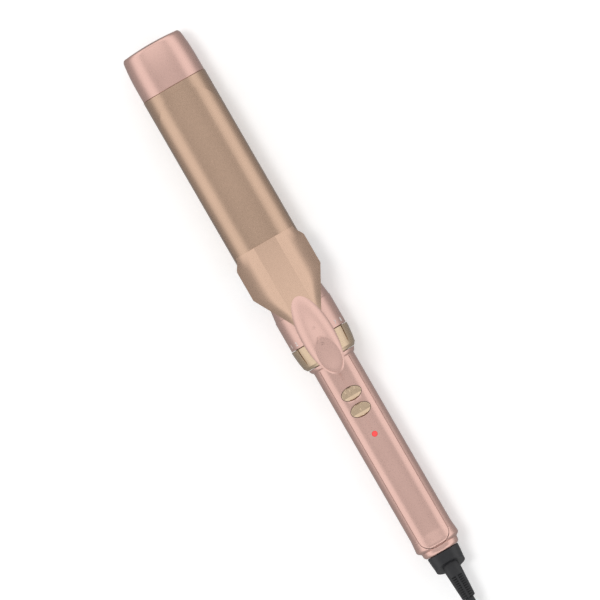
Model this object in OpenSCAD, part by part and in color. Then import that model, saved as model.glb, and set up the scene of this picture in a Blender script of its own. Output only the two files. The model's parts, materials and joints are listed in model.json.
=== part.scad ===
// Spring-clamp curling iron with a large barrel, a dial ring, two buttons and a swivel cord.
// Shapes are drawn in the iron's own frame: x is the distance from the tip along the barrel,
// y runs across and h = z is the height over the barrel's axis. place() puts that frame on
// the table: the barrel's underside and the folded stand touch z = 0, and +X points to the tip.

/* [Barrel and tip] */
// Outer diameter of the barrel
barrel_d = 38.1; // [37.6:0.1:38.4]
// Wall of the barrel tube
barrel_wall = 1.5; // [1.2:0.1:1.6]
// Distance from the tip to the front edge of the barrel
tip_len = 26.4; // [25:0.1:27]
// Distance from the tip to the rear end of the barrel
barrel_end = 133.5; // [132.5:0.1:133.5]
// Largest diameter of the cool tip
tip_d = 37.7; // [37:0.1:37.7]

/* [Clamp] */
// Distance from the tip to the rounded front of the clamp
clamp_start = 29.9; // [29:0.1:34]
// Half-width of the clamp's spoon, seen from above
spoon_half = 18.3; // [17.5:0.1:18.4]
// Thickness of the spoon's sheet
spoon_wall = 0.8; // [0.7:0.05:0.9]
// Gap between the spoon and the barrel
spoon_gap = 0.3; // [0.25:0.05:0.35]
// Distance from the tip to the step where the shoulder starts
shoulder_start = 124.3; // [123:0.1:125]
// Half-width of the shoulder at the hinge
shoulder_half = 20.95; // [20.8:0.05:21.2]
// Distance from the tip to the hinge pin
hinge_at = 140.2; // [140:0.1:140.5]
// Radius of the hinge pin
hinge_pin_r = 2; // [1.8:0.1:2.2]
// Half-length of the thumb lever, seen from above
lever_half = 23.7; // [23:0.1:24]
// Half-width of the thumb lever
lever_half_w = 9.3; // [9:0.1:9.5]
// Slope of the thumb lever in degrees
lever_slope = 12; // [12:0.1:13]

/* [Heel and dial] */
// Diameter of the heel collar beside the dial
collar_d = 33.7; // [33.4:0.1:34]
// Distance from the tip to the front edge of the dial ring
dial_start = 183.5; // [183.4:0.1:183.6]
// Diameter of the dial ring at its front edge
dial_d = 34.4; // [34:0.1:34.6]
// Grooves round the dial ring
dial_grooves = 7; // [5:1:9]

/* [Handle] */
// Distance from the tip to the front edge of the handle
handle_start = 200; // [199.9:0.1:200.1]
// Diameter of the handle
handle_d = 24.74; // [24.6:0.02:24.9]
// Wall of the handle shell
handle_wall = 2; // [1.8:0.1:2.1]
// Distance from the tip to the rear end of the handle
handle_end = 314; // [313.8:0.1:314.2]
// Half-width of the control panel
panel_half = 8.8; // [8.6:0.1:9]
// Seam between the control panel and the handle
panel_seam = 0.35; // [0.25:0.05:0.4]

/* [Controls] */
// Distance from the tip to the middle of the heat button
heat_button_at = 218.7; // [218:0.1:219]
// Distance from the tip to the middle of the power button
power_button_at = 228.8; // [228.5:0.1:229.5]
// Size of a button across the handle
button_w = 11.4; // [11:0.1:11.6]
// Size of a button along the handle
button_l = 7.2; // [7:0.1:7.4]
// Travel of a button
button_travel = 0.8; // [0.5:0.1:0.8]
// Distance from the tip to the indicator light
light_at = 244; // [243:0.1:246]

/* [Cord] */
// Diameter of the cord
cord_d = 5; // [4.8:0.1:5]
// Length of the straight runs of the cord's hank
hank_run = 24.1; // [22:0.1:26]

/* [Hidden] */

relief_start = 321;
relief_len = 25.7;
relief_end = relief_start + relief_len;
half_len = relief_end / 2;
barrel_r = barrel_d / 2;
bore_r = barrel_r - barrel_wall;
fit_r = bore_r - 0.05;
axis_z = barrel_r;
running = 0.05;
tip_groove = 0.35;

// Clamp: the spoon lies round the barrel, the shoulder arches over the hinge
spoon_in = barrel_r + spoon_gap;
spoon_out = spoon_in + spoon_wall;
spoon_end = 131;
flare_end = 131.5;
ear_end = 148.9;
shoulder_end = 172.8;
ear_wall = 0.9;
ear_in = shoulder_half - ear_wall;
ear_r = 6.2;
crown_wall = 1.4;
taper = 0.555;
flare_half = barrel_r - 1.15;
top_half = 6.6;
top_sag = 0.5;
bevel_half = 11.3;
bevel_slope = 0.7;
side_slope = 1.3;
ear_low = 4;

// Heel: a plug in the barrel carries the bracket and the collar on its stem
stem_r = 13;
stem_bore = 7;
stem_end = 175.5;
cheek_half = 17.2;
stand_wire = 0.8;
stand_in = 17.5;
stand_eye = 1;
neck_r = 15.3;
collar_r = collar_d / 2;
sleeve_r = 10.3;
sleeve_end = 206;
sleeve_bore = 8;
dial_r = dial_d / 2;
dial_hub = sleeve_r + running;
flange_front = 197.1;

// Spring: one open coil of wire under the shoulder's crown
spring_at = 152.5;
spring_foot = 14.4;
spring_turns = 5;
spring_wire = 0.45;
spring_r = 3;

// Lever: its own tilted frame sits over the middle of its plan
lever_mid = 182.2;
lever_h = barrel_r + 11.95;
lever_edge = 1;
lever_crown = 4.4;
dish_at = 194.4;
dish_half = 10.2;
dish_half_w = 6.2;
dish_deep = 1.4;
arm_half = 5.2;
arm_wall = 1.2;
lever_screw_at = [-4, 6];

// Handle and panel
handle_r = handle_d / 2;
handle_in = handle_r - handle_wall;
panel_straight = 307.5;
panel_nose = 6.3;
panel_rest = 7;
panel_wall = 1.8;
board_top = 2;
board_wall = 1.6;
board_start = 214;
board_end = 286;
front_post = 210;
rear_post = 290;
button_gap = 0.28;
button_proud = 0.95;
button_foot = 6.2;
switch_top = board_top + 2.6;
light_r = 1.35;
light_hole = 1.6;
light_dish = 3.1;

// Swivel
hub_r = 5;
hub_start = 306.8;
hub_flange = 2.6;
collar_rim = 311;
end_plug_r = 8.9;
cap_start = 317.7;
cap_end = 329.7;
cap_top = 323.8;
cap_rim = 8.6;
relief_r = 4.75;
relief_slots = 11;
relief_pitch = 1.31;
relief_first = 333.2;

// Cord: a lead down to the table, a tied hank in line with the iron, and a tail to the plug
cord_r = cord_d / 2;
loop_pitch = cord_d + 0.5;
lead_points = [[352, 0, -0.1], [358, 0, -1.8], [365.7, 0, -5.7], [371.3, 0.8, -9.2],
    [376.4, 3.1, -12.3], [380.7, 6.8, -14.7], [383.8, 11.5, -15.6], [386.4, 15.7, -15.65],
    [389.9, 19.4, -15.65], [393.9, 22.3, -15.65], [398.3, 24.4, -15.65],
    [403.1, 25.7, -15.65], [406.5, 26, -15.65]];
hank_at = 408;
hank_in = 3 * cord_d;
hank_wide = 2;
hank_out = hank_in + hank_wide * loop_pitch;
hank_loops = 8;
hank_rings = 24;
hank_sides = 6;
hank_spare = 0.8;
tie_wall = 0.8;
tie_w = 8;
tie_gap = 0.1;
tail_drop_len = 36;
tail_in = 8.3;
plug_len = 30;
plug_w = 21;
plug_h = 14;

// The iron's frame, put down on the table
module place() {
    translate([half_len, 0, axis_z]) rotate([0, 0, 180]) children();
}

// A turned piece from points of [radius, distance from the tip]
module turned(points) {
    rotate([0, 90, 0]) rotate_extrude($fn = 96) polygon(points);
}

module rod(from, to, r) {
    translate([from, 0, 0]) rotate([0, 90, 0]) cylinder(h = to - from, r = r, $fn = 96);
}

module tube(from, to, outer, inner) {
    difference() {
        rod(from, to, outer);
        rod(from - 1, to + 1, inner);
    }
}

// A straight round bar between any two points
module bar(a, b, r) {
    v = b - a;
    translate(a) rotate([0, acos(v[2] / norm(v)), atan2(v[1], v[0])])
        cylinder(h = norm(v), r = r, $fn = 32);
}

// A block from its lowest corner to its highest corner
module block(low, high) {
    translate(low) cube(high - low);
}

// An upright post with its foot at h
module post(x, y, h, tall, r) {
    translate([x, y, h]) cylinder(h = tall, r = r, $fn = 48);
}

function ellipse(x, a, b, n = 64) = [for (i = [0:n - 1])
    [x + a * cos(360 * i / n), b * sin(360 * i / n)]];

// Quads of a grid of rings, each ring closed, with both ends capped
function ring_faces(rings, sides) = concat(
    [[for (j = [sides - 1:-1:0]) j]],
    [for (i = [0:rings - 2], j = [0:sides - 1]) let (k = (j + 1) % sides)
        [i * sides + j, i * sides + k, (i + 1) * sides + j]],
    [for (i = [0:rings - 2], j = [0:sides - 1]) let (k = (j + 1) % sides)
        [i * sides + k, (i + 1) * sides + k, (i + 1) * sides + j]],
    [[for (j = [0:sides - 1]) (rings - 1) * sides + j]]);

function heading(p, i) = let (
    a = p[max(0, i - 1)],
    b = p[min(len(p) - 1, i + 1)]) (b - a) / norm(b - a);

// A round tube swept along a path, its ends square to the first and last stretch
module sweep(path, r, sides) {
    rings = [for (i = [0:len(path) - 1])
        let (t = heading(path, i),
            side = cross(t, [0, 0, 1]) / norm(cross(t, [0, 0, 1])),
            top = cross(side, t))
        for (j = [0:sides - 1])
            path[i] + r * (cos(360 * (j + 0.5) / sides) * side
                + sin(360 * (j + 0.5) / sides) * top)];
    polyhedron(points = rings, faces = ring_faces(len(path), sides), convexity = 10);
}

// ---------- tip, barrel and heater ----------

function tip_outline(x) = tip_d / 2 - (x < 20 ? 1.5 * pow(1 - x / 20, 2.2) : 0);

module cool_tip() {
    crown_r = tip_d / 2 - 2.95;
    cavity_r = crown_r + 0.1;
    crown = [for (i = [0:8]) [crown_r * i / 8, 0.9 * pow(i / 8, 2)]];
    corner = [for (a = [75:-15:15]) [crown_r + 1.6 * cos(a), 2.45 - 1.6 * sin(a)]];
    side = [for (x = [2.5:1.5:26]) [tip_outline(x), x]];
    color([0.85, 0.64, 0.6]) place() difference() {
        turned(concat(crown, corner, side, [[tip_d / 2, tip_len - tip_groove],
            [tip_d / 2 - tip_groove, tip_len], [fit_r, tip_len], [fit_r, tip_len + 9.6],
            [0, tip_len + 9.6]]));
        difference() {
            rod(3, tip_len + 10, cavity_r);
            rod(2, tip_len + 9.6, 4);
        }
        rod(18, tip_len + 11, 1.25);
    }
}

module tip_bracket() {
    color("silver") place() difference() {
        rod(tip_len + 9.7, tip_len + 10.9, fit_r);
        rod(tip_len + 9, tip_len + 12, 1.6);
        for (a = [0:60:300]) rotate([a, 0, 0]) translate([tip_len + 9, 0, 11])
            rotate([0, 90, 0]) cylinder(h = 3, r = 3, $fn = 32);
    }
}

module tip_screw() {
    color("silver") place() difference() {
        union() {
            rod(tip_len - 2, tip_len + 10.9, 1.2);
            rod(tip_len + 10.9, tip_len + 13, 2.8);
        }
        block([tip_len + 12.2, -3, -0.4], [tip_len + 14, 3, 0.4]);
    }
}

module barrel() {
    color([0.68, 0.56, 0.47]) place() tube(tip_len, barrel_end, barrel_r, bore_r);
}

// Half of the heater's aluminium filling, over or under the flat heater
module heater_block(side) {
    difference() {
        rod(43, 112, fit_r);
        block([42, -20, side > 0 ? -20 : -1.9], [113, 20, side > 0 ? 1.9 : 20]);
        for (y = [-8.2, 8.2]) translate([42, y, side * 8.6]) rotate([0, 90, 0])
            cylinder(h = 71, r = 4.4, $fn = 48);
        translate([92, 0, side * 13]) rotate([0, 90, 0]) cylinder(h = 21, r = 2.1, $fn = 48);
    }
}

module heater_block_upper() {
    color("silver") place() heater_block(1);
}

module heater_block_lower() {
    color("silver") place() heater_block(-1);
}

module ptc_heater() {
    color([0.75, 0.6, 0.35]) place() block([48, -12, -1.9], [108, 12, 1.9]);
}

module thermal_fuse() {
    color("silver") place() translate([96, 0, -13]) rotate([0, 90, 0])
        cylinder(h = 15.9, r = 2.1, $fn = 48);
}

module thermistor() {
    color([0.2, 0.25, 0.2]) place() translate([98, 0, 13]) rotate([0, 90, 0])
        cylinder(h = 13.9, r = 2.1, $fn = 48);
}

module heater_leads() {
    color([0.75, 0.2, 0.15]) place() for (y = [-4, 4])
        bar([108, y, 1.2], [board_start, y, 1.2], 0.8);
}

module heat_shield() {
    color([0.85, 0.83, 0.78]) place() difference() {
        rod(112, 114.4, fit_r);
        for (y = [-4, 4]) translate([111, y, 1.2]) rotate([0, 90, 0])
            cylinder(h = 5, r = 0.9, $fn = 32);
    }
}

// ---------- heel and hinge ----------

module barrel_plug() {
    color([0.25, 0.25, 0.25]) place() difference() {
        turned([[stem_bore, 114.4], [fit_r, 114.4], [fit_r, barrel_end], [stem_r, barrel_end],
            [stem_r, stem_end], [stem_bore, stem_end]]);
        for (x = [153, 171]) post(x, 0, -stem_r - 1, 8, 1.1);
    }
}

module hinge_bracket() {
    color("silver") place() difference() {
        intersection() {
            rod(barrel_end, 147, 18.2);
            block([barrel_end - 1, -cheek_half, -20], [148, cheek_half, 20]);
        }
        rod(barrel_end - 1, 148, stem_r);
        translate([hinge_at, 0, 0]) rotate([90, 0, 0])
            cylinder(h = 60, r = hinge_pin_r, center = true, $fn = 48);
    }
}

// The pins' heads end flush with the sides of the shoulder
module hinge_rivets() {
    color([0.8, 0.68, 0.55]) place() for (side = [-1, 1])
        bar([hinge_at, side * stem_r, 0], [hinge_at, side * (shoulder_half - 0.05), 0],
            hinge_pin_r);
}

module hinge_spacers() {
    color([0.85, 0.85, 0.82]) place() for (side = [-1, 1]) difference() {
        bar([hinge_at, side * (stand_in + stand_eye + 0.05), 0],
            [hinge_at, side * (ear_in - ear_wall - 0.15), 0], 3.6);
        bar([hinge_at, side * 10, 0], [hinge_at, side * 30, 0], hinge_pin_r);
    }
}

module heel_collar() {
    color([0.85, 0.64, 0.6]) place() difference() {
        turned([[stem_r, 147], [neck_r, 147], [neck_r, 156.5], [15.66, 158], [16.5, 164.9],
            [16.5, 165.3], [16.62, 165.6], [collar_r, 165.75], [collar_r, dial_start - 0.15],
            [collar_r - 0.15, dial_start], [sleeve_r, dial_start], [sleeve_r, sleeve_end],
            [sleeve_bore, sleeve_end], [sleeve_bore, stem_end + 0.5], [stem_r, stem_end + 0.5]]);
        post(spring_at, 0, spring_foot, 5, 4.2);
        for (x = [153, 171]) {
            post(x, 0, -20, 22, 1.6);
            post(x, 0, -20, x < 160 ? 6.2 : 4.7, 2.9);
        }
    }
}

module heel_screws() {
    color("silver") place() for (x = [153, 171]) {
        head = x < 160 ? -13.8 : -15.3;
        difference() {
            union() {
                post(x, 0, head, -stem_r + 6 - head, 1.1);
                post(x, 0, head - 1.2, 1.2, 2.7);
            }
            block([x - 2, -0.35, head - 2], [x + 2, 0.35, head - 0.5]);
            block([x - 0.35, -2, head - 2], [x + 0.35, 2, head - 0.5]);
        }
    }
}

// ---------- dial ----------

module dial_contact_board() {
    color([0.1, 0.4, 0.2]) place() tube(dial_start, dial_start + 1.6, 14.4, sleeve_r);
}

module dial_ring() {
    color([0.72, 0.6, 0.48]) place() difference() {
        turned([[dial_hub, 189], [14.9, 189], [14.9, dial_start + 0.3],
            [dial_r - 0.25, dial_start + 0.3], [dial_r, dial_start + 0.5], [17.05, 186.6],
            [16.64, 190.6], [16.24, 193], [15.9, 195], [15.35, 195.6], [14.7, 196.6],
            [14.4, 196.8], [dial_hub, 196.8]]);
        for (i = [0:dial_grooves - 1]) rotate([i * 360 / dial_grooves, 0, 0])
            block([dial_start - 1, -0.4, 15.2 + 0.9], [195.6, 0.4, 20]);
        tube(191.5, 197.5, 14, 12.4);
    }
}

module dial_wiper() {
    color([0.85, 0.7, 0.3]) place() for (a = [90, 210, 330]) rotate([a, 0, 0])
        block([dial_start + 1.75, -1.2, 12], [189, 1.2, 13.6]);
}

module flange_ring() {
    color([0.85, 0.64, 0.6]) place() turned([[sleeve_r, flange_front], [13.95, flange_front],
        [14.07, 197.25], [13.8, 197.9], [13.56, 198.5], [13.2, 199], [12.8, 199.35],
        [12.4, 199.6], [12.4, handle_start], [sleeve_r, handle_start]]);
}

// ---------- handle ----------

module handle_outer() {
    turned([[0, handle_start], [handle_r, handle_start], [handle_r, 304.5], [12.42, 305.5],
        [12.51, 306.4], [12.66, 308], [12.81, 310], [12.92, 311.2], [12.95, 311.7],
        [12.86, 312.2], [12.57, 312.7], [11.9, 313.3], [11.2, 313.75], [10.95, handle_end],
        [0, handle_end]]);
}

// The control panel's outline, grown by a margin
module panel_prism(margin, from_h) {
    half = panel_half + margin;
    nose = [for (a = [-90:7.5:90])
        [panel_straight + (panel_nose + margin) * cos(a), half * sin(a)]];
    translate([0, 0, from_h]) linear_extrude(height = 30)
        polygon(concat([[handle_start - 1, half], [handle_start - 1, -half]], nose));
}

module handle_shell() {
    color([0.85, 0.64, 0.6]) place() difference() {
        union() {
            difference() {
                handle_outer();
                rod(handle_start - 1, collar_rim + 1, handle_in);
                rod(300, 320, end_plug_r);
            }
            for (side = [-1, 1]) intersection() {
                rod(board_start - 2, board_end + 2, handle_in + 0.5);
                block([board_start - 2, side > 0 ? 8.6 : -11, -1.4],
                    [board_end + 2, side > 0 ? 11 : -8.6, board_top - board_wall]);
            }
            for (x = [front_post, rear_post]) post(x, 0, -handle_in - 0.6, 5, 3.2);
        }
        panel_prism(panel_seam, panel_rest);
        for (x = [front_post, rear_post]) {
            post(x, 0, -20, 30, 1.5);
            post(x, 0, -20, 20 - 10, 2.8);
        }
    }
}

module button_hole(x) {
    translate([0, 0, 5]) linear_extrude(height = 10)
        polygon(ellipse(x, button_l / 2 + button_gap, button_w / 2 + button_gap));
}

module control_panel() {
    color([0.85, 0.64, 0.6]) place() difference() {
        union() {
            difference() {
                intersection() {
                    handle_outer();
                    panel_prism(0, panel_rest);
                }
                rod(handle_start - 1, sleeve_end + 0.4, sleeve_r + running);
                rod(collar_rim - 0.3, handle_end + 1, end_plug_r + running);
                intersection() {
                    rod(handle_start + 1.6, hub_start + hub_flange + 0.6, handle_r - panel_wall);
                    block([handle_start, 1.6 - panel_half, 0], [320, panel_half - 1.6, handle_r]);
                }
            }
            for (x = [front_post, rear_post]) post(x, 0, -5, 16, 2.6);
        }
        for (x = [front_post, rear_post]) post(x, 0, -6, 13, 1.1);
        button_hole(heat_button_at);
        button_hole(power_button_at);
        block([206.5, -0.5, handle_r - 0.25], [light_at - light_dish, 0.5, 20]);
        post(light_at, 0, 5, 10, light_hole);
        post(light_at, 0, handle_r - 0.35, 10, light_dish);
        block([front_post - 1.6, -3.5, handle_r - panel_wall - 0.1], [front_post, -3, 11]);
    }
}

module light_pipe() {
    color([0.9, 0.3, 0.3]) place() {
        post(light_at, 0, board_top + 1.5, handle_r - 0.5 - board_top - 1.5, light_r);
        post(light_at, 0, handle_r - panel_wall - 1.4, 1, 2.4);
    }
}

module indicator_led() {
    color([0.95, 0.9, 0.85]) place()
        block([light_at - 1.6, -1.4, board_top], [light_at + 1.6, 1.4, board_top + 1.5]);
}

module circuit_board() {
    color([0.1, 0.4, 0.2]) place()
        block([board_start, -9.4, board_top - board_wall], [board_end, 9.4, board_top]);
}

module tact_switches() {
    color([0.2, 0.2, 0.2]) place() for (x = [heat_button_at, power_button_at]) {
        block([x - 3, -3, board_top], [x + 3, 3, switch_top]);
        post(x, 0, switch_top - 0.2, button_foot - button_travel - running - switch_top + 0.2, 1.7);
    }
}

module film_capacitor() {
    color([0.75, 0.6, 0.1]) place()
        block([252, -4, board_top], [265, 4, board_top + 6.5]);
}

module triac() {
    color([0.15, 0.15, 0.15]) place() {
        block([270, -5, board_top], [280, 5, board_top + 3]);
        block([268.5, -4, board_top + 0.2], [270, 4, board_top + 1]);
    }
}

module microcontroller() {
    color([0.12, 0.12, 0.12]) place()
        block([234, -4.5, board_top], [241, 4.5, board_top + 1.4]);
}

module handle_screws() {
    color("silver") place() for (x = [front_post, rear_post]) difference() {
        union() {
            post(x, 0, -10, 14, 1.1);
            post(x, 0, -11.4, 1.4, 2.6);
        }
        block([x - 2, -0.35, -12], [x + 2, 0.35, -10.8]);
        block([x - 0.35, -2, -12], [x + 0.35, 2, -10.8]);
    }
}

module end_collar() {
    color([0.85, 0.64, 0.6]) place() turned([[hub_r + running, collar_rim],
        [end_plug_r, collar_rim], [end_plug_r, handle_end], [10.88, handle_end], [10.74, 316],
        [10.3, 316.8], [9.8, 317.2], [9.52, 317.4], [hub_r + running, 317.4]]);
}

module contact_brushes() {
    color([0.85, 0.7, 0.3]) place() {
        block([board_end, 4.9, 0.2], [301.4, 5.4, 2.4]);
        block([299, 4.45, 0.2], [300.6, 4.9, 2.4]);
        block([board_end, -5.4, 0.2], [305.8, -4.9, 2.4]);
        block([303.4, -4.9, 0.2], [305, -4.45, 2.4]);
    }
}

// ---------- buttons ----------

// A button's top follows the handle's curve, then falls away toward the cord
module button(x) {
    proud = handle_r + button_proud;
    intersection() {
        turned([[0, x - 5], [proud - 0.35, x - 5], [proud - 0.35, x - 3.6], [proud, x - 3.1],
            [proud, x + 1.3], [proud - 1.5, x + 3.6], [proud - 1.5, x + 5], [0, x + 5]]);
        translate([0, 0, button_foot]) linear_extrude(height = 12)
            polygon(ellipse(x, button_l / 2, button_w / 2));
    }
    intersection() {
        rod(x - 8, x + 8, handle_r - panel_wall - 0.3);
        translate([0, 0, button_foot]) linear_extrude(height = 6)
            polygon(ellipse(x, button_l / 2 + 0.9, button_w / 2 + 0.9));
    }
}

module heat_button() {
    proud = handle_r + button_proud;
    color([0.72, 0.6, 0.48]) place() {
        button(heat_button_at);
        for (a = [-12, 0, 12]) rotate([a, 0, 0])
            post(heat_button_at - 1, 0, proud - 0.5, 0.65, 0.45);
    }
}

module power_button() {
    color([0.72, 0.6, 0.48]) place() difference() {
        button(power_button_at);
        post(power_button_at - 1, 0, handle_r + button_proud - 0.3, 2, 0.5);
    }
}

// ---------- clamp ----------

module clamp_spoon() {
    nose = [for (a = [90:7.5:270])
        [clamp_start + spoon_half + spoon_half * cos(a), spoon_half * sin(a)]];
    color([0.7, 0.58, 0.49]) place() intersection() {
        tube(clamp_start - 1, spoon_end, spoon_out, spoon_in);
        linear_extrude(height = 30)
            polygon(concat(nose, [[spoon_end, -spoon_half], [spoon_end, spoon_half]]));
    }
}

// Half-width seen from above: a flare, a straight stretch, then a straight taper
function flare(x) = let (u = min(1, max(0, (x - 125.5) / (flare_end - 125.5))))
    flare_half + (shoulder_half - flare_half) * (3 * u * u - 2 * u * u * u);
function shoulder_w(x) = x < ear_end ? flare(x) : shoulder_half - taper * (x - ear_end);
// Two creases a side part the flat top, the bevels and the rounded sides
function bevel_edge(x) = bevel_half - max(0, 0.36 * (x - 154));
function top_edge(x) = min(top_half, bevel_edge(x) - 0.8);
function crown(x) = barrel_r + 2.25 + 0.0944 * (x - 124.5) + 0.00148 * pow(x - 124.5, 2);
function bevel_h(x) = crown(x) - top_sag - bevel_slope * (bevel_edge(x) - top_edge(x));
function side_h(x) = bevel_h(x)
    - (side_slope - max(0, 0.04 * (x - 165))) * (shoulder_w(x) - bevel_edge(x));
// Height of the shoulder's outside at any point, or so far under it
function arch(x, y, sink) = let (a = abs(y), top = top_edge(x), edge = bevel_edge(x))
    (a < top ? crown(x) - top_sag * pow(a / top, 2)
    : a < edge ? crown(x) - top_sag - bevel_slope * (a - top)
    : bevel_h(x) - (bevel_h(x) - side_h(x)) * pow((a - edge) / (shoulder_w(x) - edge), 1.2))
    - sink;
// Underside of the lever, which the arm of the shoulder lies against
function lever_base(x) = lever_h + (x - lever_mid) * tan(lever_slope);
function ball(y, r) = sqrt(max(0, r * r - y * y));

// The shoulder's front lies on the spoon, its middle covers the hinge, its rear is the lever's root
spoon_seat = spoon_out + 0.08;
flare_cuts = [shoulder_start, 125.5, 126.7, 127.9, 129.1, 130.3, 131.3];
ear_cuts = [131.7, 136, 140.5, 145, ear_end];
tail_cuts = [149.6, 152.5, 155.5, 158.5, 161.5, 164.5, 167.5, 170.5, shoulder_end];

// Points across a half-width, crowded at the two creases of each side
function across_y(x, half) = let (
    top = min(top_edge(x), half - 0.4),
    edge = min(bevel_edge(x), half - 0.2),
    right = concat([for (i = [1:3]) top * i / 3], [for (i = [1:2]) top + (edge - top) * i / 2],
        [for (i = [1:5]) edge + (half - edge) * i / 5]))
    concat([for (i = [len(right) - 1:-1:0]) -right[i]], [0], right);

// One cut through the shoulder: over the outside from side to side, then back underneath
function cut(x, w, inner_w, low, over, under) = let (
    out = across_y(x, w),
    in = across_y(x, inner_w))
    concat([[x, -w, low]], [for (i = [0:len(out) - 1]) [x, out[i], over[i]]], [[x, w, low]],
        [[x, inner_w, low]], [for (i = [len(in) - 1:-1:0]) [x, in[i], under[i]]],
        [[x, -inner_w, low]]);

function flare_cut(x) = let (
    w = shoulder_w(x),
    inner_w = min(w - 0.3, ball(ear_low, spoon_seat)),
    low = max(ear_low, ball(inner_w, spoon_seat)))
    cut(x, w, inner_w, low,
        [for (y = across_y(x, w)) max(arch(x, y, 0), ball(y, spoon_seat + 0.45))],
        [for (y = across_y(x, inner_w)) max(ball(y, spoon_seat), low + 0.05)]);

function body_cut(x) = let (w = shoulder_w(x),
    low = x < ear_end + 0.5 ? ear_low : side_h(x) - 0.4)
    cut(x, w, w - ear_wall, low,
        [for (y = across_y(x, w)) arch(x, y, 0)],
        [for (y = across_y(x, w - ear_wall)) max(arch(x, y, crown_wall), low + 0.05)]);

module clamp_shoulder() {
    rings = concat([for (x = flare_cuts) flare_cut(x)],
        [for (x = concat(ear_cuts, tail_cuts)) body_cut(x)]);
    color([0.83, 0.7, 0.59]) place() intersection() {
        polyhedron(points = [for (ring = rings) each ring],
            faces = ring_faces(len(rings), len(rings[0])), convexity = 8);
        block([100, -40, -10], [200, 40, 60]);
    }
}

// Flat steel ears inside the shoulder's sides, on which the clamp swings
module hinge_ears() {
    color("silver") place() for (side = [-1, 1])
        translate([0, side > 0 ? ear_in - 0.05 : ear_wall - ear_in + 0.05, 0])
            rotate([90, 0, 0]) linear_extrude(height = ear_wall) difference() {
                union() {
                    translate([hinge_at, 0]) circle(r = ear_r, $fn = 96);
                    translate([flare_end + 0.3, 0])
                        square([ear_end - flare_end - 0.6, 4.9]);
                }
                translate([hinge_at, 0]) circle(r = hinge_pin_r + running, $fn = 48);
            }
}

// The lever's own slope, with its underside at local height 0
module lever_frame() {
    translate([lever_mid, 0, lever_h]) rotate([0, -lever_slope, 0]) children();
}

// A flat steel bar from the shoulder's rear edge, under the lever
module lever_arm() {
    color("silver") place() difference() {
        lever_frame() difference() {
            block([-12, -arm_half, -0.05 - arm_wall], [10, arm_half, -0.05]);
            for (x = lever_screw_at) post(x, 0, -4, 6, 1.2);
        }
        block([150, -20, 20], [shoulder_end, 20, 40]);
    }
}

// Thickness of the lever over its underside: domed, with a thumb dish near its end
function dish(x, y) = pow((x - dish_at) / dish_half, 2) + pow(y / dish_half_w, 2);
function lever_dome(x, y, q) = lever_base(x) + lever_edge + lever_crown * (1 - pow(q, 2.2))
    - 0.35 * pow(q, 12) - dish_deep * max(0, 1 - dish(x, y));
function lever_under(x, y) = max(lever_base(x), x < 178 ? arch(x, y, -0.05) : 0);

module thumb_lever() {
    rings = 12;
    around = 48;
    plan = concat(
        [for (i = [0:rings - 1], j = [0:around - 1])
            let (q = 1 - pow(i / rings, 1.2), a = 360 * j / around)
            [lever_mid + lever_half * q * cos(a), lever_half_w * q * sin(a), q]],
        [[lever_mid, 0, 0]]);
    tip = rings * around;
    web = concat(
        [for (i = [0:rings - 2], j = [0:around - 1]) let (k = (j + 1) % around)
            [i * around + j, (i + 1) * around + j, i * around + k]],
        [for (i = [0:rings - 2], j = [0:around - 1]) let (k = (j + 1) % around)
            [i * around + k, (i + 1) * around + j, (i + 1) * around + k]],
        [for (j = [0:around - 1]) let (k = (j + 1) % around)
            [(rings - 1) * around + j, tip, (rings - 1) * around + k]]);
    under = tip + 1;
    rim = concat(
        [for (j = [0:around - 1]) let (k = (j + 1) % around) [j, k, under + j]],
        [for (j = [0:around - 1]) let (k = (j + 1) % around) [k, under + k, under + j]]);
    color([0.85, 0.64, 0.6]) place() difference() {
        polyhedron(points = concat(
                [for (p = plan) [p[0], p[1], lever_dome(p[0], p[1], p[2])]],
                [for (p = plan) [p[0], p[1], lever_under(p[0], p[1])]]),
            faces = concat(web, rim, [for (f = web) [f[2] + under, f[1] + under, f[0] + under]]),
            convexity = 6);
        lever_frame() for (x = lever_screw_at) post(x, 0, -3, 5.2, 0.95);
    }
}

module lever_screws() {
    color("silver") place() lever_frame() for (x = lever_screw_at) {
        post(x, 0, -arm_wall - 0.1, arm_wall + 2.2, 0.95);
        post(x, 0, -arm_wall - 1.2, 1.15, 2.1);
    }
}

// ---------- clamp spring, drawn as one open coil of wire ----------

function spring_top() = arch(spring_at, 0, crown_wall) - 0.4;

module clamp_spring() {
    steps = spring_turns * 8;
    rise = spring_top() - spring_foot - 2 * spring_wire;
    path = [for (i = [0:steps]) [spring_at + spring_r * cos(45 * i),
        spring_r * sin(45 * i), spring_foot + spring_wire + rise * i / steps]];
    color("silver") place() sweep(path, spring_wire, 6);
}

// ---------- stand ----------

stand_bar_h = stand_wire * cos(22.5) - barrel_r;
stand_route = [[144.4, 18.15, -1.4], [147.5, 18.1, -2.8], [151.5, 17.3, -5.2],
    [157.5, 14.3, -9.6], [163, 13, -12.3], [168, 12, -14.6], [174, 10.8, -17],
    [176.2, 10.2, -17.8], [177.3, 9.2, stand_bar_h], [177.6, 7.8, stand_bar_h]];

module flip_stand() {
    last = len(stand_route) - 1;
    path = concat(stand_route,
        [for (i = [last:-1:0]) let (p = stand_route[i]) [p[0], -p[1], p[2]]]);
    color("silver") place() difference() {
        union() {
            sweep(path, stand_wire, 8);
            for (side = [-1, 1]) bar([hinge_at, side * stand_in, 0],
                [hinge_at, side * (stand_in + stand_eye), 0], 5);
        }
        bar([hinge_at, -30, 0], [hinge_at, 30, 0], hinge_pin_r + running);
    }
}

// ---------- swivel, cord and plug ----------

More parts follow.
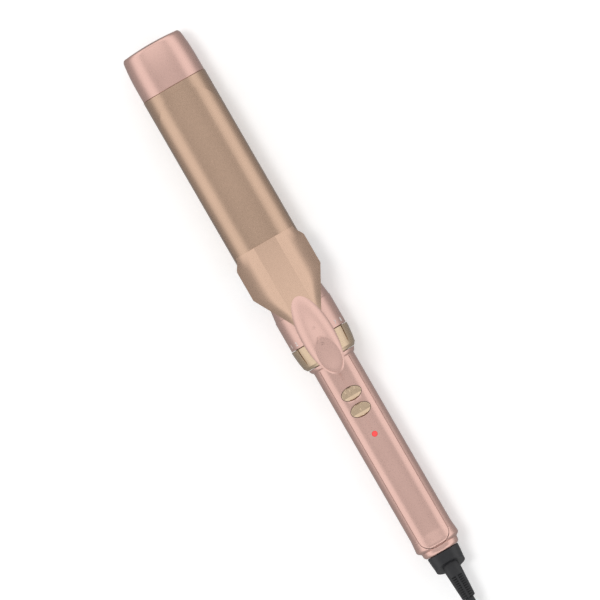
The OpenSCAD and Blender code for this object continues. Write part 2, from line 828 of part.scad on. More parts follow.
module swivel_cap() {
    slant = atan((cap_end - cap_top) / (2 * cap_rim));
    color([0.16, 0.16, 0.17]) place() difference() {
        turned([[0, cap_start], [9.2, cap_start], [9.4, cap_start + 0.3], [9.25, 320.5],
            [9, 323], [8.75, 325.5], [cap_rim, cap_end], [0, cap_end]]);
        translate([cap_top, 0, cap_rim]) rotate([0, -slant, 0]) block([0, -12, -30], [20, 12, 5]);
        rod(relief_start, cap_end + 1, relief_r + running);
    }
}

module swivel_hub() {
    color([0.3, 0.3, 0.3]) place() {
        rod(296.5, hub_start, 3);
        rod(hub_start, hub_start + hub_flange, 7.2);
        rod(hub_start + hub_flange, cap_start, hub_r);
    }
}

module slip_rings() {
    color([0.85, 0.7, 0.3]) place() for (x = [298, 302.6]) tube(x, x + 3.4, 4.4, 3);
}

module strain_relief() {
    function wide(x) = relief_r - 0.95 * (x - cap_end) / (relief_end - cap_end);
    color([0.14, 0.14, 0.15]) place() difference() {
        turned([[0, relief_start], [relief_r, relief_start], [relief_r, cap_end],
            [wide(346), 346], [3.55, 346.5],
            [3.2, relief_end], [0, relief_end]]);
        for (i = [0:relief_slots - 1], side = [-1, 1], up = [-1, 1])
            translate([relief_first + i * relief_pitch - 0.35, 0, 0])
                block([0, side > 0 ? 0.6 : -3.05, up > 0 ? 2.2 : -6],
                    [0.7, side > 0 ? 3.05 : -0.6, up > 0 ? 6 : -2.2]);
    }
}

// The hank's turns spiral in over two loops and out over the next two, a layer higher each time
hank_floor = cord_r + tie_wall + tie_gap - axis_z;
function hank_r(turn) = hank_in + loop_pitch * abs(turn % (2 * hank_wide) - hank_wide);
function sum(v, i = 0) = i < len(v) ? v[i] + sum(v, i + 1) : 0;
function layer(turn) = sum([for (k = [hank_wide:hank_wide:hank_loops - 1])
    min(1, max(0, (turn - k) * 2 + 0.5))]);
// The last half turn is led a little further out, clear of the turn inside it
function spare(turn) = hank_spare * max(0, 2 * (turn - hank_loops) + 1);
// A loop is a straight run, the far fold, the run back and the near fold
function hank_point(turn) = let (
    f = turn % 1,
    r = (turn < hank_loops ? hank_r(turn) : hank_out) + spare(turn),
    h = hank_floor + loop_pitch * layer(turn))
    f < 1 / 6 ? [hank_at + hank_run * 6 * f, r, h]
    : f < 1 / 2 ? [hank_at + hank_run + r * sin(540 * f - 90), r * cos(540 * f - 90), h]
    : f < 2 / 3 ? [hank_at + hank_run * (4 - 6 * f), -r, h]
    : [hank_at - r * sin(540 * f - 360), -r * cos(540 * f - 360), h];
// The hank ends in a short straight, so that its end is square to the tail
end_stub = 2;
coil_path = concat([for (i = [0:hank_loops * hank_rings]) hank_point(i / hank_rings)],
    [hank_point(hank_loops) + [end_stub, 0, 0]]);

// Least gap of the hank to itself, over pairs at least half a loop apart
coil_gap = min([for (i = [0:len(coil_path) - 1], j = [i + hank_rings / 2:1:len(coil_path) - 1])
    norm(coil_path[i] - coil_path[j])]) - cord_d;

lead_path = concat([[relief_end, 0, 0]], lead_points, [coil_path[0]]);
coil_out = coil_path[len(coil_path) - 1];
tail_start = coil_out + [hank_run - end_stub + cord_d, 0, 0];
tail_drop = plug_h / 2 - axis_z - coil_out[2];
function ease(u) = 3 * u * u - 2 * u * u * u;
tail_path = concat([coil_out, coil_out + [hank_run / 2, 0, 0], tail_start],
    [for (i = [1:4]) let (u = i / 4)
        tail_start + [u * tail_drop_len, -tail_in * ease(u), tail_drop * ease(u)]],
    [tail_start + [tail_drop_len + cord_d, -tail_in, tail_drop]]);
plug_from = tail_path[len(tail_path) - 1];

function path_len(p) = len(p) < 2 ? 0 :
    [for (i = 1, s = 0; i <= len(p); s = i < len(p) ? s + norm(p[i] - p[i - 1]) : s,
        i = i + 1) s][len(p) - 1];

echo(coil_gap = coil_gap, lead = path_len(lead_path),
    coil = path_len(coil_path), tail = path_len(tail_path));

module cord_lead() {
    color([0.14, 0.14, 0.15]) place() sweep(lead_path, cord_r, 8);
}

module cord_coil() {
    color([0.14, 0.14, 0.15]) place() sweep(coil_path, cord_r, hank_sides);
}

module cord_tail() {
    color([0.14, 0.14, 0.15]) place() sweep(tail_path, cord_r, 8);
}

// A strap round the middle of the hank's two runs
module cord_tie() {
    near = -hank_out - cord_r - tie_gap;
    far = hank_out + hank_spare + cord_r + tie_gap;
    top = hank_floor + loop_pitch * layer(hank_loops) + cord_r + tie_gap;
    from = hank_at + (hank_run - tie_w) / 2;
    color([0.14, 0.14, 0.15]) place() difference() {
        block([from, near - tie_wall, -axis_z], [from + tie_w, far + tie_wall, top + tie_wall]);
        block([from - 1, near, tie_wall - axis_z], [from + tie_w + 1, far, top]);
    }
}

module plug_frame() {
    place() translate(plug_from) children();
}

module plug_body() {
    color([0.14, 0.14, 0.15]) plug_frame() {
        rod(0, 9, 3.6);
        translate([8, 0, -plug_h / 2]) linear_extrude(height = plug_h)
            polygon([[0, -5.5], [4, -7], [10, -plug_w / 2], [plug_len - 8, -plug_w / 2],
                [plug_len - 8, plug_w / 2], [10, plug_w / 2], [4, 7], [0, 5.5]]);
    }
}

module plug_blades() {
    color("silver") plug_frame() for (side = [-1, 1]) difference() {
        translate([plug_len, side * 6.35 - 0.75, -3.2]) cube([17, 1.5, 6.4]);
        translate([plug_len + 12.5, side * 6.35, 0]) rotate([90, 0, 0])
            cylinder(h = 4, r = 1.6, center = true, $fn = 32);
    }
}

cool_tip();
tip_bracket();
tip_screw();
barrel();
heater_block_upper();
heater_block_lower();
ptc_heater();
thermal_fuse();
thermistor();
heater_leads();
heat_shield();
barrel_plug();
hinge_bracket();
hinge_rivets();
hinge_spacers();
heel_collar();
heel_screws();
dial_contact_board();
flange_ring();
handle_shell();
control_panel();
light_pipe();
indicator_led();
circuit_board();
tact_switches();
film_capacitor();
triac();
microcontroller();
handle_screws();
end_collar();
contact_brushes();
dial_ring();
dial_wiper();
heat_button();
power_button();
clamp_spoon();
clamp_shoulder();
hinge_ears();
lever_arm();
thumb_lever();
lever_screws();
clamp_spring();
flip_stand();
swivel_cap();
swivel_hub();
slip_rings();
strain_relief();
cord_lead();
cord_coil();
cord_tail();
cord_tie();
plug_body();
plug_blades();
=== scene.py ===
import json
import math

import bmesh
import bpy
from mathutils import Matrix, Vector
from mathutils.bvhtree import BVHTree

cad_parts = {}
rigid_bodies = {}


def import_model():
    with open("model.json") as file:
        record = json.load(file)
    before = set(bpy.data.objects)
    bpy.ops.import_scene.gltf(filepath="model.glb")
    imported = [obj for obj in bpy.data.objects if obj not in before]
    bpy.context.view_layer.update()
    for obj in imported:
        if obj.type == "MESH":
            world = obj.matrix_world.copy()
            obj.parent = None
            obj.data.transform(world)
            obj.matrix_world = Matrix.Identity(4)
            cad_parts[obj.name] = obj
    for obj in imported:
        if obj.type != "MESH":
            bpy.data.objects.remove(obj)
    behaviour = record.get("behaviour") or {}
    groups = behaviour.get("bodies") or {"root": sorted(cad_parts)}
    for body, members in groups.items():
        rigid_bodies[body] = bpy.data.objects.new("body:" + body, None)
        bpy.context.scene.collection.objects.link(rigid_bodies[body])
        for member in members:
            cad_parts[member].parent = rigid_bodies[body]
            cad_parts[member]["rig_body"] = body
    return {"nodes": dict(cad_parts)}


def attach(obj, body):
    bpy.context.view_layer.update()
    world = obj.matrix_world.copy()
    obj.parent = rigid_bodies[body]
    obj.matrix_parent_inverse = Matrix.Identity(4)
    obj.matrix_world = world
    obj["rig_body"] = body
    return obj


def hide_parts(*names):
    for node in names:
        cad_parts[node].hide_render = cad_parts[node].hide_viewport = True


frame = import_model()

# Blender's own start scene goes; the CAD nodes stay.
for stray in list(bpy.data.objects):
    if stray.type in {"CAMERA", "LIGHT"} or (stray.type == "MESH" and stray.name not in frame["nodes"]):
        bpy.data.objects.remove(stray)
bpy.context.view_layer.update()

# ---------------------------------------------------------------- measures
# The iron's own frame: s in mm from the tip, y to the side, h over the axis.
MM = 0.001
HALF = 173.35
AXIS = 19.05


def at(s, y=0.0, h=0.0):
    """A point of the iron's frame in the row frame, in metres."""
    return Vector(((HALF - s) * MM, -y * MM, (AXIS + h) * MM))


# ---------------------------------------------------------------- camera
SPAN = 0.3254
DISTANCE = 6.0
TARGET = Vector((0.01229, -0.00117, 0.01905))

lens = bpy.data.cameras.new("view")
lens.sensor_width = 36.0
lens.lens = 36.0 * DISTANCE / SPAN
lens.clip_start = 0.5
lens.clip_end = 40.0
camera = bpy.data.objects.new("view", lens)
bpy.context.scene.collection.objects.link(camera)
right, up, back = Vector((-0.5, -0.8660254, 0)), Vector((0.8660254, -0.5, 0)), Vector((0, 0, 1))
camera.matrix_world = Matrix.Translation(TARGET + back * DISTANCE) @ Matrix(
    (right, up, back)
).transposed().to_4x4()
bpy.context.scene.camera = camera


# ---------------------------------------------------------------- materials
def graph(name):
    """A new node material, its tree, its Principled shader and its texture coordinates."""
    mat = bpy.data.materials.new(name)
    mat.use_nodes = True
    tree = mat.node_tree
    shader = next(n for n in tree.nodes if n.type == "BSDF_PRINCIPLED")
    coords = tree.nodes.new("ShaderNodeTexCoord")
    return mat, tree, shader, coords


def noise(tree, coords, scale, detail=3.0, rough=0.6, stretch=None):
    """Noise on Object coordinates, drawn out along the iron or round it by stretch."""
    tex = tree.nodes.new("ShaderNodeTexNoise")
    tex.inputs["Scale"].default_value = scale
    tex.inputs["Detail"].default_value = detail
    tex.inputs["Roughness"].default_value = rough
    source = coords.outputs["Object"]
    if stretch:
        mapping = tree.nodes.new("ShaderNodeMapping")
        mapping.inputs["Scale"].default_value = stretch
        tree.links.new(source, mapping.inputs["Vector"])
        source = mapping.outputs["Vector"]
    tree.links.new(source, tex.inputs["Vector"])
    return tex.outputs["Fac"]


def ramp(tree, fac, stops):
    """Colours at places from 0 to 1."""
    node = tree.nodes.new("ShaderNodeValToRGB")
    band = node.color_ramp
    while len(band.elements) < len(stops):
        band.elements.new(0.5)
    for element, (place, colour) in zip(band.elements, stops):
        element.position = place
        element.color = (*colour, 1.0)
    tree.links.new(fac, node.inputs["Fac"])
    return node.outputs["Color"]


def spread(tree, fac, low, high):
    """The middle of a noise, spread between two values."""
    node = tree.nodes.new("ShaderNodeMapRange")
    node.inputs["From Min"].default_value = 0.3
    node.inputs["From Max"].default_value = 0.7
    node.inputs["To Min"].default_value = low
    node.inputs["To Max"].default_value = high
    tree.links.new(fac, node.inputs["Value"])
    return node.outputs["Result"]


def bump(tree, shader, fac, strength, height):
    """A fine relief in the shader's normal."""
    node = tree.nodes.new("ShaderNodeBump")
    node.inputs["Strength"].default_value = strength
    node.inputs["Distance"].default_value = height
    tree.links.new(fac, node.inputs["Height"])
    tree.links.new(node.outputs["Normal"], shader.inputs["Normal"])


def shade(colour, k):
    return tuple(min(1.0, c * k) for c in colour)


def finish(name, colour, metal=0.0, rough=(0.35, 0.5), grain=900.0, contrast=0.06, stretch=None,
           relief=0.1, height=0.00002):
    """A finish mixed from two noises: a fine grain and a slow change of tone."""
    mat, tree, shader, coords = graph(name)
    fine = noise(tree, coords, grain, 4.0, 0.65, stretch)
    slow = noise(tree, coords, 38.0, 2.0, 0.5)
    tone = ramp(tree, fine, [(0.32, shade(colour, 1 - contrast)), (0.68, shade(colour, 1 + contrast))])
    drift = ramp(tree, slow, [(0.3, shade((1, 1, 1), 0.96)), (0.7, (1, 1, 1))])
    mix = tree.nodes.new("ShaderNodeMix")
    mix.data_type = "RGBA"
    mix.blend_type = "MULTIPLY"
    mix.inputs["Factor"].default_value = 1.0
    tree.links.new(tone, mix.inputs[6])
    tree.links.new(drift, mix.inputs[7])
    tree.links.new(mix.outputs[2], shader.inputs["Base Color"])
    tree.links.new(spread(tree, fine, *rough), shader.inputs["Roughness"])
    shader.inputs["Metallic"].default_value = metal
    shader.inputs["Specular IOR Level"].default_value = 0.5
    bump(tree, shader, fine, relief, height)
    return mat


ROSE = (0.70, 0.455, 0.395)
GOLD = (0.55, 0.378, 0.277)
# The shoulder has the barrel's gold coating. Its colour here is lighter than the barrel's as painted
# light, standing in for the brighter light on its flatter top.
SHOULDER_GOLD_WITH_PAINTED_LIGHT = (0.60, 0.41, 0.305)
SATIN = 0.00001

M = {
    "rose": finish("rose_satin", ROSE, 0.85, (0.26, 0.32), 1400, 0.04, relief=0.08, height=SATIN),
    "barrel": finish("barrel_coating", GOLD, 0.95, (0.24, 0.32), 1500, 0.08, relief=0.12,
                     height=SATIN),
    "clamp": finish("clamp_coating", GOLD, 0.95, (0.22, 0.30), 1500, 0.08, relief=0.12,
                    height=SATIN),
    # The shoulder's coating: the barrel's gold, painted lighter as painted light.
    "shoulder": finish("shoulder_paint", SHOULDER_GOLD_WITH_PAINTED_LIGHT, 0.95, (0.24, 0.32), 1500, 0.08,
                       height=SATIN),
    "trim": finish("trim_metal", (0.62, 0.47, 0.33), 0.95, (0.22, 0.32), 700, 0.08, (1, 6, 6),
                   height=SATIN),
    "steel": finish("zinc_steel", (0.55, 0.55, 0.56), 1.0, (0.28, 0.4), 900, 0.08, (1, 5, 5),
                    0.15, SATIN),
    "aluminium": finish("extruded_aluminium", (0.72, 0.73, 0.74), 1.0, (0.35, 0.5), 700, 0.08,
                        (0.05, 1, 1), 0.2),
    "film": finish("heater_film", (0.50, 0.22, 0.05), 0.0, (0.25, 0.4), 300, 0.15),
    "fuse": finish("fuse_case", (0.62, 0.58, 0.50), 1.0, (0.25, 0.35), 600, 0.08),
    "glass": finish("sensor_bead", (0.45, 0.20, 0.12), 0.0, (0.08, 0.14), 600, 0.1),
    "sleeve": finish("braided_sleeve", (0.62, 0.60, 0.54), 0.0, (0.7, 0.85), 2600, 0.25,
                     relief=0.6, height=0.0001),
    "mica": finish("mica_sheet", (0.62, 0.56, 0.44), 0.0, (0.3, 0.6), 260, 0.2, (1, 1, 8),
                   0.3, 0.00005),
    "dark_nylon": finish("dark_nylon", (0.045, 0.045, 0.05), 0.0, (0.45, 0.6), 1200, 0.2,
                         relief=0.3, height=0.00003),
    "white_nylon": finish("white_nylon", (0.75, 0.74, 0.71), 0.0, (0.4, 0.5), 900, 0.04),
    "board": finish("circuit_laminate", (0.03, 0.20, 0.08), 0.0, (0.3, 0.45), 1800, 0.3),
    "brass": finish("contact_brass", (0.75, 0.55, 0.25), 1.0, (0.2, 0.32), 700, 0.08),
    "chip": finish("chip_resin", (0.03, 0.03, 0.032), 0.0, (0.45, 0.6), 1600, 0.25),
    "yellow": finish("capacitor_case", (0.72, 0.46, 0.05), 0.0, (0.35, 0.5), 900, 0.06),
    "led_white": finish("led_case", (0.80, 0.80, 0.78), 0.0, (0.3, 0.4), 900, 0.03),
    "black": finish("black_plastic", (0.012, 0.012, 0.014), 0.0, (0.34, 0.44), 1400, 0.25,
                    relief=0.15, height=SATIN),
    "rubber": finish("black_rubber", (0.016, 0.016, 0.018), 0.0, (0.45, 0.6), 1500, 0.25,
                     relief=0.2),
    "nickel": finish("blade_nickel", (0.66, 0.64, 0.58), 1.0, (0.18, 0.28), 500, 0.08,
                     (0.2, 1, 1), 0.15, SATIN),
    "print": finish("white_print", (0.86, 0.84, 0.82), 0.0, (0.5, 0.6), 2500, 0.08),
    "lens": finish("red_lens", (0.86, 0.07, 0.07), 0.0, (0.18, 0.28), 900, 0.12),
}
lit = M["lens"].node_tree.nodes["Principled BSDF"]
lit.inputs["Emission Color"].default_value = (1.0, 0.06, 0.05, 1)
lit.inputs["Emission Strength"].default_value = 0.35


# ---------------------------------------------------------------- modelling helpers
def only(obj):
    """Selects one object alone."""
    bpy.ops.object.select_all(action="DESELECT")
    obj.select_set(True)
    bpy.context.view_layer.objects.active = obj


def settle(obj, body, look, angle=30.0, even_normals=False):
    """Smooths, paints and hangs a finished piece on its body."""
    only(obj)
    obj.data.materials.clear()
    obj.data.materials.append(M[look])
    bpy.ops.object.shade_smooth_by_angle(angle=math.radians(angle))
    if even_normals:
        even = obj.modifiers.new("even", "WEIGHTED_NORMAL")
        even.keep_sharp = True
        even.weight = 80
        bpy.ops.object.modifier_apply(modifier="even")
    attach(obj, body)
    return obj


def soften(obj, width, angle=30.0, segments=2):
    """A small rounding along every edge sharper than the angle."""
    only(obj)
    mod = obj.modifiers.new("edge", "BEVEL")
    mod.width = width * MM
    mod.segments = segments
    mod.limit_method = "ANGLE"
    mod.angle_limit = math.radians(angle)
    mod.harden_normals = False
    bpy.ops.object.modifier_apply(modifier="edge")


def dress(node, look, edge=0.0, angle=30.0, segments=2, flat=0.5, even_normals=True):
    """A welded copy of a node's mesh with rounded edges, which stands for the node."""
    source = frame["nodes"][node]
    obj = bpy.data.objects.new(node + "_finish", source.data.copy())
    bpy.context.scene.collection.objects.link(obj)
    only(obj)
    bpy.ops.mesh.customdata_custom_splitnormals_clear()
    bpy.ops.object.mode_set(mode="EDIT")
    bpy.ops.mesh.select_all(action="SELECT")
    bpy.ops.mesh.remove_doubles(threshold=2e-6)
    if flat:
        bpy.ops.mesh.dissolve_limited(angle_limit=math.radians(flat))
    bpy.ops.mesh.normals_make_consistent(inside=False)
    bpy.ops.mesh.mark_sharp(clear=True)
    bpy.ops.object.mode_set(mode="OBJECT")
    if edge:
        soften(obj, edge, angle, segments)
    settle(obj, source["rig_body"], look, angle, even_normals)
    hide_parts(node)
    return obj


# ---------------------------------------------------------------- cord
# The lead comes down to the table, the rest is folded in a tied hank, and a tail ends in the plug.
# The points and the hank's values repeat those of the part's source.
CORD_D = 5.0
PITCH = 5.5
LEAD = [(346.7, 0, 0), (352, 0, -0.1), (358, 0, -1.8), (365.7, 0, -5.7), (371.3, 0.8, -9.2),
        (376.4, 3.1, -12.3), (380.7, 6.8, -14.7), (383.8, 11.5, -15.6), (386.4, 15.7, -15.65),
        (389.9, 19.4, -15.65), (393.9, 22.3, -15.65), (398.3, 24.4, -15.65), (403.1, 25.7, -15.65)]
HANK_AT = 408.0
HANK_RUN = 24.1
HANK_IN = 3 * CORD_D
HANK_OUT = HANK_IN + 2 * PITCH
HANK_LOOPS = 8
HANK_RINGS = 24
HANK_SPARE = 0.8
HANK_FLOOR = CORD_D / 2 + 0.9 - AXIS
TAIL_LEN = 36.0
TAIL_IN = 8.3
PLUG_H = 14.0


def hank_point(turn):
    """A point of the hank: straight run, far fold, run back, near fold, again and again."""
    f = turn - math.floor(turn)
    r = HANK_OUT if turn >= HANK_LOOPS else HANK_IN + PITCH * abs(turn % 4 - 2)
    r += HANK_SPARE * max(0, 2 * (turn - HANK_LOOPS) + 1)
    h = HANK_FLOOR + PITCH * sum(min(1, max(0, (turn - k) * 2 + 0.5)) for k in (2, 4, 6))
    if f < 1 / 6:
        return (HANK_AT + HANK_RUN * 6 * f, r, h)
    if f < 1 / 2:
        a = math.radians(540 * f - 90)
        return (HANK_AT + HANK_RUN + r * math.sin(a), r * math.cos(a), h)
    if f < 2 / 3:
        return (HANK_AT + HANK_RUN * (4 - 6 * f), -r, h)
    a = math.radians(540 * f - 360)
    return (HANK_AT - r * math.sin(a), -r * math.cos(a), h)


route = list(LEAD) + [hank_point(i / HANK_RINGS) for i in range(HANK_LOOPS * HANK_RINGS + 1)]
out_s, out_y, out_h = route[-1]
drop = PLUG_H / 2 - AXIS - out_h
out_s += HANK_RUN
route += [(out_s - HANK_RUN / 2, out_y, out_h), (out_s + CORD_D, out_y, out_h)]
for u in (0.25, 0.5, 0.75, 1):
    ease = 3 * u * u - 2 * u ** 3
    route += [(out_s + CORD_D + u * TAIL_LEN, out_y - TAIL_IN * ease, out_h + drop * ease)]
route += [(out_s + 2 * CORD_D + TAIL_LEN, out_y - TAIL_IN, out_h + drop)]

line = bpy.data.curves.new("mains_cord", "CURVE")
line.dimensions = "3D"
line.resolution_u = 4
line.bevel_depth = CORD_D / 2 * MM
line.bevel_resolution = 4
line.use_fill_caps = True
spline = line.splines.new("BEZIER")
spline.bezier_points.add(len(route) - 1)
for point, place in zip(spline.bezier_points, route):
    point.co = at(*place)
    point.handle_left_type = point.handle_right_type = "AUTO"
cord = bpy.data.objects.new("mains_cord", line)
bpy.context.scene.collection.objects.link(cord)
cord.data.materials.append(M["rubber"])
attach(cord, "swivel")
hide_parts("cord_lead", "cord_coil", "cord_tail")

# ---------------------------------------------------------------- thumb lever
LEVER_AT = 182.2
LEVER_HALF = (23.7, 9.3)
LEVER_H = 31.0
LEVER_SLOPE = math.tan(math.radians(12.0))
LEVER_EDGE = 1.0
LEVER_CROWN = 4.4
RIM_DROP = 0.35
TOP_FROM = 0.7
DISH_AT = 194.4
DISH_HALF = (10.2, 6.2)
DISH_DEPTH = 1.4
DISH_BAND = (0.82, 1.2)


def shape_lever(obj):
    """Finer dome, rim and thumb dish over the lever's own outline.

    Points in a band round the dish's edge move onto it, so that the edge is crisp.
    """
    only(obj)
    bpy.ops.object.mode_set(mode="EDIT")
    bpy.ops.mesh.select_all(action="SELECT")
    bpy.ops.mesh.subdivide(number_cuts=1)
    bpy.ops.object.mode_set(mode="OBJECT")
    for vert in obj.data.vertices:
        s, y, h = HALF - vert.co.x / MM, -vert.co.y / MM, vert.co.z / MM - AXIS
        base = LEVER_H + (s - LEVER_AT) * LEVER_SLOPE
        if h < base + TOP_FROM:
            continue
        u, v = (s - DISH_AT) / DISH_HALF[0], y / DISH_HALF[1]
        dish = u * u + v * v
        if DISH_BAND[0] < dish < DISH_BAND[1]:
            k = 1 / math.sqrt(dish)
            s, y, dish = DISH_AT + u * k * DISH_HALF[0], v * k * DISH_HALF[1], 1.0
        q = min(1.0, math.hypot((s - LEVER_AT) / LEVER_HALF[0], y / LEVER_HALF[1]))
        h = base + LEVER_EDGE + LEVER_CROWN * (1 - q ** 2.2) - RIM_DROP * q ** 12
        h -= DISH_DEPTH * max(0.0, 1 - dish)
        vert.co = at(s, y, h)
    bpy.ops.object.shade_smooth_by_angle(angle=math.radians(13))


# ---------------------------------------------------------------- outside pieces
dress("cool_tip", "rose", 0.25)
dress("barrel", "barrel", 0.1)
dress("clamp_spoon", "clamp", 0.2)
dress("clamp_shoulder", "shoulder", 0.0, 16, flat=0, even_normals=False)
dress("hinge_ears", "steel", 0.15)
dress("lever_arm", "steel", 0.15)
lever = dress("thumb_lever", "rose", 0.0, 25, flat=0, even_normals=False)
shape_lever(lever)
dress("lever_screws", "steel", 0.1)
dress("heel_collar", "rose", 0.2)
dress("dial_ring", "trim", 0.15)
dress("flange_ring", "rose", 0.2)
dress("handle_shell", "rose", 0.15)
dress("control_panel", "rose", 0.12)
dress("heat_button", "trim", 0.12)
dress("power_button", "trim", 0.12)
dress("light_pipe", "lens", 0.15)
dress("end_collar", "rose", 0.1)
dress("swivel_cap", "black", 0.3)
dress("strain_relief", "rubber", 0.1)
dress("flip_stand", "steel", 0.0, 50, flat=0, even_normals=False)
dress("hinge_spacers", "white_nylon", 0.05)
dress("hinge_rivets", "trim", 0.2)
dress("hinge_bracket", "steel", 0.15)
plug = dress("plug_body", "black", 0.8, segments=3)
tie = dress("cord_tie", "rubber", 0.3)
blades = dress("plug_blades", "nickel", 0.2)

# ---------------------------------------------------------------- marks
NUMERALS = 8
NUMERAL_S = 181.0
NUMERAL_FIRST = -66
NUMERAL_STEP = 18.4
NUMERAL_SIZE = 3.1
COLLAR_R = 16.85
RAY_FROM = 0.06


def skin(node):
    """The outside of a node, for laying marks on it."""
    mesh = bmesh.new()
    mesh.from_mesh(frame["nodes"][node].data)
    tree = BVHTree.FromBMesh(mesh)
    mesh.free()
    return tree


def lay_on(obj, node, look, name):
    """Lays a mark on a node. Its x is s, its y the angle round the iron, its z the thickness."""
    only(obj)
    bpy.ops.object.convert(target="MESH")
    bpy.ops.object.transform_apply(location=True, rotation=True, scale=True)
    tree = skin(node)
    for vert in obj.data.vertices:
        s, arc, lift = vert.co
        outward = Vector((0, -math.sin(arc), math.cos(arc)))
        hit = tree.ray_cast(at(s) + outward * RAY_FROM, -outward)[0]
        vert.co = hit + outward * lift * MM
    obj.name = name
    bpy.ops.object.mode_set(mode="EDIT")
    bpy.ops.mesh.select_all(action="SELECT")
    bpy.ops.mesh.remove_doubles(threshold=1e-6)
    bpy.ops.mesh.normals_make_consistent(inside=False)
    bpy.ops.object.mode_set(mode="OBJECT")
    return settle(obj, frame["nodes"][node]["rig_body"], look)


def numeral(text, s, angle, size, radius):
    """A raised numeral whose top points to the tip."""
    bpy.ops.object.text_add()
    obj = bpy.context.object
    obj.data.body = text
    obj.data.align_x = "CENTER"
    obj.data.align_y = "CENTER"
    obj.data.size = size
    obj.data.extrude = 0.07
    obj.data.offset = 0.02
    only(obj)
    bpy.ops.object.convert(target="MESH")
    for vert in obj.data.vertices:
        x, y, z = vert.co
        vert.co = (s - y, math.radians(angle) + x / radius, z)
    return obj


for k in range(NUMERALS):
    angle = NUMERAL_FIRST + NUMERAL_STEP * k
    digit = numeral(str(k + 1), NUMERAL_S, angle, NUMERAL_SIZE, COLLAR_R)
    lay_on(digit, "heel_collar", "print", "dial_number_" + str(k + 1))

# ---------------------------------------------------------------- inner pieces
INSIDE = {
    "tip_bracket": "steel", "tip_screw": "steel", "heater_block_upper": "aluminium",
    "heater_block_lower": "aluminium", "ptc_heater": "film", "thermal_fuse": "fuse",
    "thermistor": "glass", "heater_leads": "sleeve", "heat_shield": "mica",
    "barrel_plug": "dark_nylon", "heel_screws": "steel", "dial_contact_board": "board",
    "dial_wiper": "brass", "circuit_board": "board", "tact_switches": "chip",
    "indicator_led": "led_white", "microcontroller": "chip", "triac": "chip",
    "film_capacitor": "yellow", "handle_screws": "steel", "contact_brushes": "brass",
    "swivel_hub": "dark_nylon", "slip_rings": "brass", "clamp_spring": "steel",
}
for node, look in INSIDE.items():
    frame["nodes"][node].data.materials.clear()
    frame["nodes"][node].data.materials.append(M[look])

# ---------------------------------------------------------------- floor and light
FLOOR_SIZE = 8.0
FLOOR_AT = -0.0005
FLOOR_LIFT = 0.2
EVEN_LIGHT = 0.75
STUDIO_LIGHT = 1.4
KEY_AT = (0.55, 0.95, 4.0)
KEY_SIZE = 0.9
KEY_POWER = 45.0

bpy.ops.mesh.primitive_plane_add(size=FLOOR_SIZE, location=(0, 0, FLOOR_AT))
floor = bpy.context.object
floor.name = "floor"
mat = bpy.data.materials.new("floor_paper")
mat.use_nodes = True
tree = mat.node_tree
shader = tree.nodes["Principled BSDF"]
shader.inputs["Roughness"].default_value = 0.9
shader.inputs["Specular IOR Level"].default_value = 0.0
coords = tree.nodes.new("ShaderNodeTexCoord")
paper = noise(tree, coords, 60.0)
tree.links.new(ramp(tree, paper, [(0.3, (0.93, 0.93, 0.93)), (0.7, (0.95, 0.95, 0.95))]),
               shader.inputs["Base Color"])
floor.data.materials.append(mat)
# The camera sees the paper a little lighter; nothing else does.
glow = tree.nodes.new("ShaderNodeEmission")
path = tree.nodes.new("ShaderNodeLightPath")
add = tree.nodes.new("ShaderNodeAddShader")
pick = tree.nodes.new("ShaderNodeMixShader")
glow.inputs["Strength"].default_value = FLOOR_LIFT
tree.links.new(shader.outputs[0], add.inputs[0])
tree.links.new(glow.outputs[0], add.inputs[1])
tree.links.new(path.outputs["Is Camera Ray"], pick.inputs["Fac"])
tree.links.new(shader.outputs[0], pick.inputs[1])
tree.links.new(add.outputs[0], pick.inputs[2])
tree.links.new(pick.outputs[0], tree.nodes["Material Output"].inputs["Surface"])

world = bpy.data.worlds.new("studio")
world.use_nodes = True
bpy.context.scene.world = world
world.cycles.sampling_method = "NONE"
# Even white light. Reflections see a studio instead: bright bands low at both sides, a darker
# ceiling over the iron, and a bright panel over the tip end.
sky = world.node_tree
even = sky.nodes["Background"]
even.inputs["Color"].default_value = (1, 1, 1, 1)
even.inputs["Strength"].default_value = EVEN_LIGHT
way = sky.nodes.new("ShaderNodeTexCoord")
split = sky.nodes.new("ShaderNodeSeparateXYZ")
sky.links.new(way.outputs["Generated"], split.inputs["Vector"])


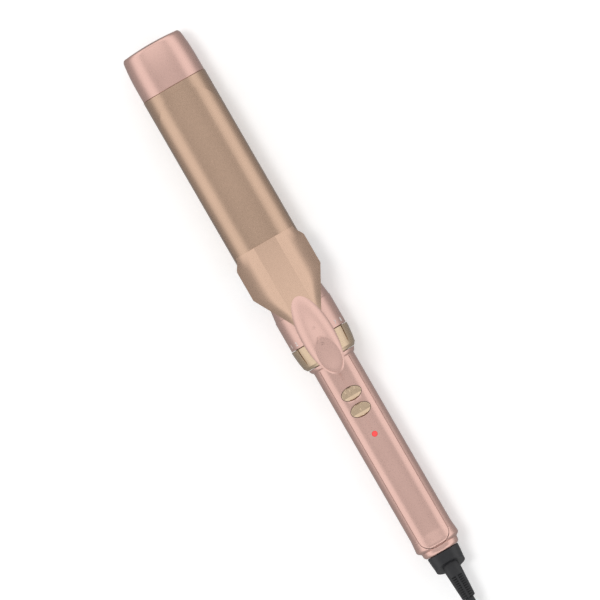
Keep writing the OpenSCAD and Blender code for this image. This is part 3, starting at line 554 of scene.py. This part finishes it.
def level(source, low, high):
    """0 below low, 1 above high, and even between."""
    node = sky.nodes.new("ShaderNodeMapRange")
    node.inputs["From Min"].default_value = low
    node.inputs["From Max"].default_value = high
    sky.links.new(source, node.inputs["Value"])
    return node.outputs["Result"]


PANELS = [(0.0, 0.22), (0.2, 0.28), (0.35, 0.34), (0.44, 0.66), (0.5, 0.86), (0.6, 0.95),
          (0.74, 0.86), (0.80, 0.50), (0.83, 0.45), (0.9, 0.49), (0.955, 0.52), (1.0, 0.54)]
round_about = ramp(sky, level(split.outputs["Z"], -1.0, 1.0), [(p, (v, v, v)) for p, v in PANELS])
over_tip = sky.nodes.new("ShaderNodeMix")
over_tip.data_type = "RGBA"
over_tip.inputs[7].default_value = (0.86, 0.86, 0.86, 1)
both = sky.nodes.new("ShaderNodeMath")
both.operation = "MULTIPLY"
sky.links.new(level(split.outputs["X"], 0.12, 0.24), both.inputs[0])
sky.links.new(level(split.outputs["Z"], 0.5, 0.8), both.inputs[1])
sky.links.new(both.outputs[0], over_tip.inputs["Factor"])
sky.links.new(round_about, over_tip.inputs[6])
studio = sky.nodes.new("ShaderNodeBackground")
studio.inputs["Strength"].default_value = STUDIO_LIGHT
sky.links.new(over_tip.outputs[2], studio.inputs["Color"])
rays = sky.nodes.new("ShaderNodeLightPath")
pick_sky = sky.nodes.new("ShaderNodeMixShader")
sky.links.new(rays.outputs["Is Glossy Ray"], pick_sky.inputs["Fac"])
sky.links.new(even.outputs[0], pick_sky.inputs[1])
sky.links.new(studio.outputs[0], pick_sky.inputs[2])
sky.links.new(pick_sky.outputs[0], sky.nodes["World Output"].inputs["Surface"])


data = bpy.data.lights.new("key", "AREA")
data.shape = "RECTANGLE"
data.size = data.size_y = KEY_SIZE
data.energy = KEY_POWER
key = bpy.data.objects.new("key", data)
bpy.context.scene.collection.objects.link(key)
key.location = KEY_AT
key.rotation_euler = (-Vector(KEY_AT)).to_track_quat("-Z", "Y").to_euler()
key.visible_glossy = False
floor.visible_glossy = False

bpy.context.scene.view_settings.view_transform = "Standard"
